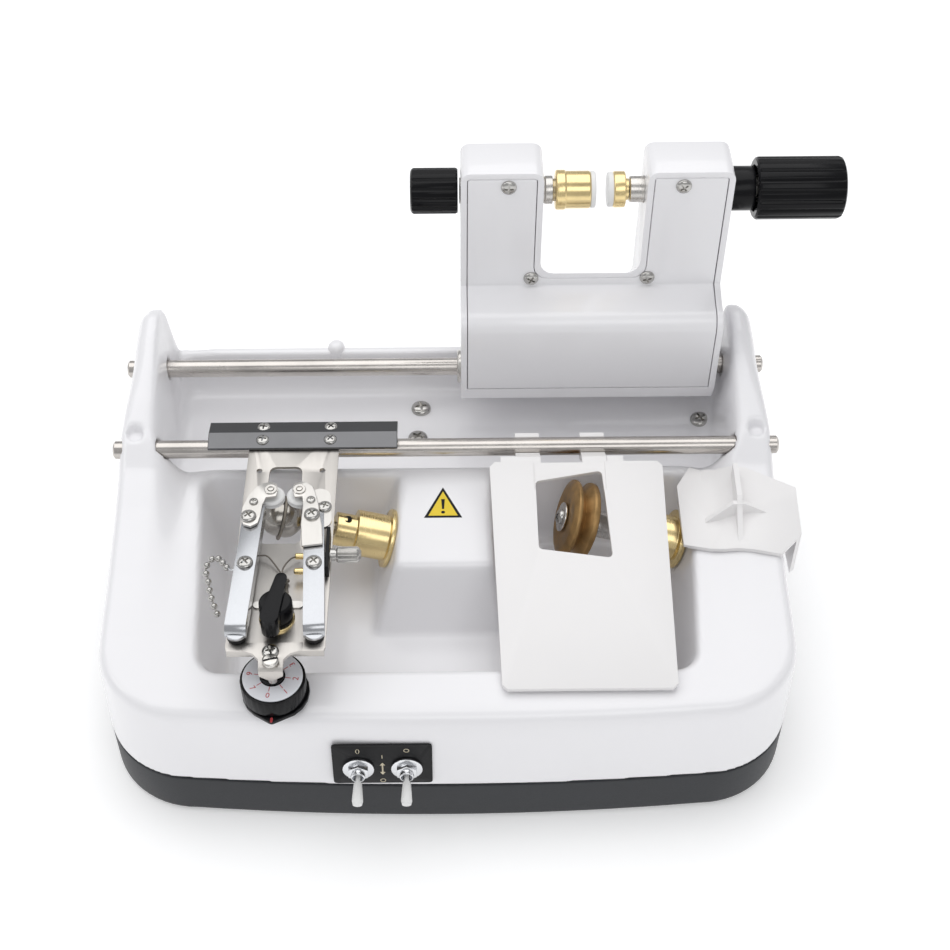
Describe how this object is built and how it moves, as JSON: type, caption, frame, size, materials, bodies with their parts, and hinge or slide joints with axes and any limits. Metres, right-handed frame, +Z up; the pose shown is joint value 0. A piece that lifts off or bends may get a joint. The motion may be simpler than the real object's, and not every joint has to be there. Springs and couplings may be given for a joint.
{
  "type": "optician lens groover",
  "caption": "Bench lens groover: white body with two cross rails, tilting lens head, grooving carriage, chamfer wheel under a hinged platform, depth dial and switches.",
  "frame": {"origin": "centre of the machine's outline, at the level the feet stand on", "axes": "+X to the user's right along the two rails, +Y to the rear, +Z up"},
  "size_m": [0.316, 0.2281, 0.196],
  "materials": {
    "white_moulding": "smooth white moulded plastic",
    "grey_moulding": "fine-grained dark slate grey plastic",
    "black_plastic": "satin black plastic",
    "panel_label": "black panel label, thin white marks",
    "rubber": "soft black rubber",
    "ground_steel": "ground bright steel",
    "stainless_sheet": "brushed stainless sheet",
    "chrome": "bright plated steel",
    "brass": "turned brass, light tool marks",
    "bronze_bond": "dull bronze-bonded diamond",
    "diamond_rim": "grey diamond-coated steel",
    "white_nylon": "white nylon",
    "dial_face": "grey scale disc, red numerals and ticks",
    "motor_can": "plated motor can",
    "green_board": "green circuit board"
  },
  "bodies": {
    "body": {"base_pan": "grey_moulding", "top_shell": "white_moulding", "foot_front_left": "rubber", "foot_front_right": "rubber", "foot_rear_left": "rubber", "foot_rear_right": "rubber", "front_rail": "ground_steel", "rear_rail": "ground_steel", "switch_panel": "panel_label", "lens_switch": "chrome", "wheel_switch": "chrome", "dial_pointer_base": "black_plastic", "groove_motor": "motor_can", "groove_housing": "brass", "chamfer_motor": "motor_can", "chamfer_housing": "brass", "saddle_guard": "white_moulding", "power_inlet": "black_plastic", "transformer": "motor_can", "circuit_board": "green_board"},
    "lens_lever": {"lens_switch_lever": "white_nylon"},
    "wheel_lever": {"wheel_switch_lever": "white_nylon"},
    "depth_dial": {"depth_knob": "black_plastic", "dial_scale": "dial_face"},
    "groove_wheel": {"groove_spindle": "ground_steel", "groove_wheel": "diamond_rim"},
    "chamfer_wheel": {"chamfer_spindle": "ground_steel", "chamfer_wheel": "bronze_bond"},
    "carriage": {"carriage_plate": "stainless_sheet", "rail_bracket": "chrome", "carriage_bush_left": "black_plastic", "carriage_bush_right": "black_plastic", "depth_pin": "ground_steel", "left_arm_bush": "black_plastic", "right_arm_bush": "black_plastic", "bead_chain": "chrome"},
    "selector": {"selector_knob": "black_plastic"},
    "left_arm": {"left_guide_arm": "chrome", "left_finger_plate": "stainless_sheet"},
    "right_arm": {"right_guide_arm": "chrome", "right_finger_plate": "stainless_sheet", "fine_adjust_block": "black_plastic"},
    "fine_adjust": {"fine_adjust_screw": "ground_steel"},
    "left_roller": {"left_roller": "white_nylon"},
    "right_roller": {"right_roller": "white_nylon"},
    "platform": {"platform": "white_moulding"},
    "head_slide": {"head_slide_tube": "ground_steel"},
    "head": {"head_frame": "white_moulding", "head_cover": "white_moulding", "lens_motor": "motor_can", "drive_belt": "rubber", "clamp_sleeve": "black_plastic"},
    "motor_pulley": {"motor_pulley": "ground_steel"},
    "left_chuck": {"left_chuck": "brass", "left_chuck_knob": "black_plastic"},
    "clamp_screw": {"clamp_shaft": "ground_steel"},
    "clamp_knob": {"clamp_knob": "black_plastic"},
    "right_chuck": {"right_chuck": "brass"}
  },
  "joints": [
    {"name": "head_slide", "type": "slide", "parent": "body", "child": "head_slide", "axis": [1, 0, 0], "range_m": [-0.128, 0]},
    {"name": "head_tilt", "type": "hinge", "parent": "head_slide", "child": "head", "pos_m": [0.0525, 0.08692, 0.09], "axis": [1, 0, 0], "range_deg": [0, 80]},
    {"name": "left_chuck_spin", "type": "hinge", "parent": "head", "child": "left_chuck", "pos_m": [0.018, 0.10092, 0.179], "axis": [1, 0, 0], "continuous": true},
    {"name": "motor_pulley_spin", "type": "hinge", "parent": "head", "child": "motor_pulley", "pos_m": [0.008, 0.09792, 0.118], "axis": [1, 0, 0], "continuous": true},
    {"name": "clamp_advance", "type": "slide", "parent": "head", "child": "clamp_screw", "axis": [-1, 0, 0], "range_m": [-0.0066, 0.0046]},
    {"name": "clamp_knob_turn", "type": "hinge", "parent": "clamp_screw", "child": "clamp_knob", "pos_m": [0.138, 0.10092, 0.179], "axis": [1, 0, 0], "range_deg": [-468, 324]},
    {"name": "right_chuck_spin", "type": "hinge", "parent": "clamp_screw", "child": "right_chuck", "pos_m": [0.062, 0.10092, 0.179], "axis": [1, 0, 0], "continuous": true},
    {"name": "groove_wheel_spin", "type": "hinge", "parent": "body", "child": "groove_wheel", "pos_m": [-0.0365, 0.00492, 0.0633], "axis": [-0.9563, 0, 0.2924], "continuous": true},
    {"name": "chamfer_wheel_spin", "type": "hinge", "parent": "body", "child": "chamfer_wheel", "pos_m": [0.0892, 0.00492, 0.0611], "axis": [-0.9563, 0, 0.2924], "continuous": true},
    {"name": "depth_dial_turn", "type": "hinge", "parent": "body", "child": "depth_dial", "pos_m": [-0.081, -0.08148, 0.075], "axis": [0, 0, 1], "range_deg": [0, 315]},
    {"name": "carriage_tilt", "type": "hinge", "parent": "body", "child": "carriage", "pos_m": [-0.079, 0.03572, 0.089], "axis": [1, 0, 0], "range_deg": [-0.65, 0]},
    {"name": "selector_turn", "type": "hinge", "parent": "carriage", "child": "selector", "pos_m": [-0.0791, -0.06358, 0.1], "axis": [0, 0, 1], "range_deg": [-30, 30]},
    {"name": "left_arm_swing", "type": "hinge", "parent": "carriage", "child": "left_arm", "pos_m": [-0.0942, -0.07328, 0.098], "axis": [0, 0, 1], "range_deg": [0, 2.5]},
    {"name": "right_arm_swing", "type": "hinge", "parent": "carriage", "child": "right_arm", "pos_m": [-0.0638, -0.07328, 0.098], "axis": [0, 0, 1], "range_deg": [-2.6, 0]},
    {"name": "fine_adjust_turn", "type": "hinge", "parent": "right_arm", "child": "fine_adjust", "pos_m": [-0.053, -0.03488, 0.0994], "axis": [1, 0, 0], "range_deg": [-360, 360]},
    {"name": "left_roller_spin", "type": "hinge", "parent": "left_arm", "child": "left_roller", "pos_m": [-0.08495, -0.00358, 0.1], "axis": [0, 0, 1], "continuous": true},
    {"name": "right_roller_spin", "type": "hinge", "parent": "right_arm", "child": "right_roller", "pos_m": [-0.07305, -0.00358, 0.1], "axis": [0, 0, 1], "continuous": true},
    {"name": "platform_lift", "type": "hinge", "parent": "body", "child": "platform", "pos_m": [0.044, 0.03572, 0.089], "axis": [1, 0, 0], "range_deg": [-80, 0]},
    {"name": "lens_switch_flip", "type": "hinge", "parent": "body", "child": "lens_lever", "pos_m": [-0.0486, -0.09888, 0.039], "axis": [1, 0, 0], "range_deg": [-25, 0]},
    {"name": "wheel_switch_flip", "type": "hinge", "parent": "body", "child": "wheel_lever", "pos_m": [-0.0289, -0.09888, 0.039], "axis": [1, 0, 0], "range_deg": [-25, 0]}
  ],
  "couplings": [
    {"joint": "motor_pulley_spin", "follows": "left_chuck_spin", "ratio": 1.45},
    {"joint": "clamp_advance", "follows": "clamp_knob_turn", "m_per_rad": 0.00079577},
    {"joint": "carriage_tilt", "follows": "depth_dial_turn", "ratio": -0.0019048},
    {"joint": "right_arm_swing", "follows": "left_arm_swing", "ratio": -1}
  ]
}
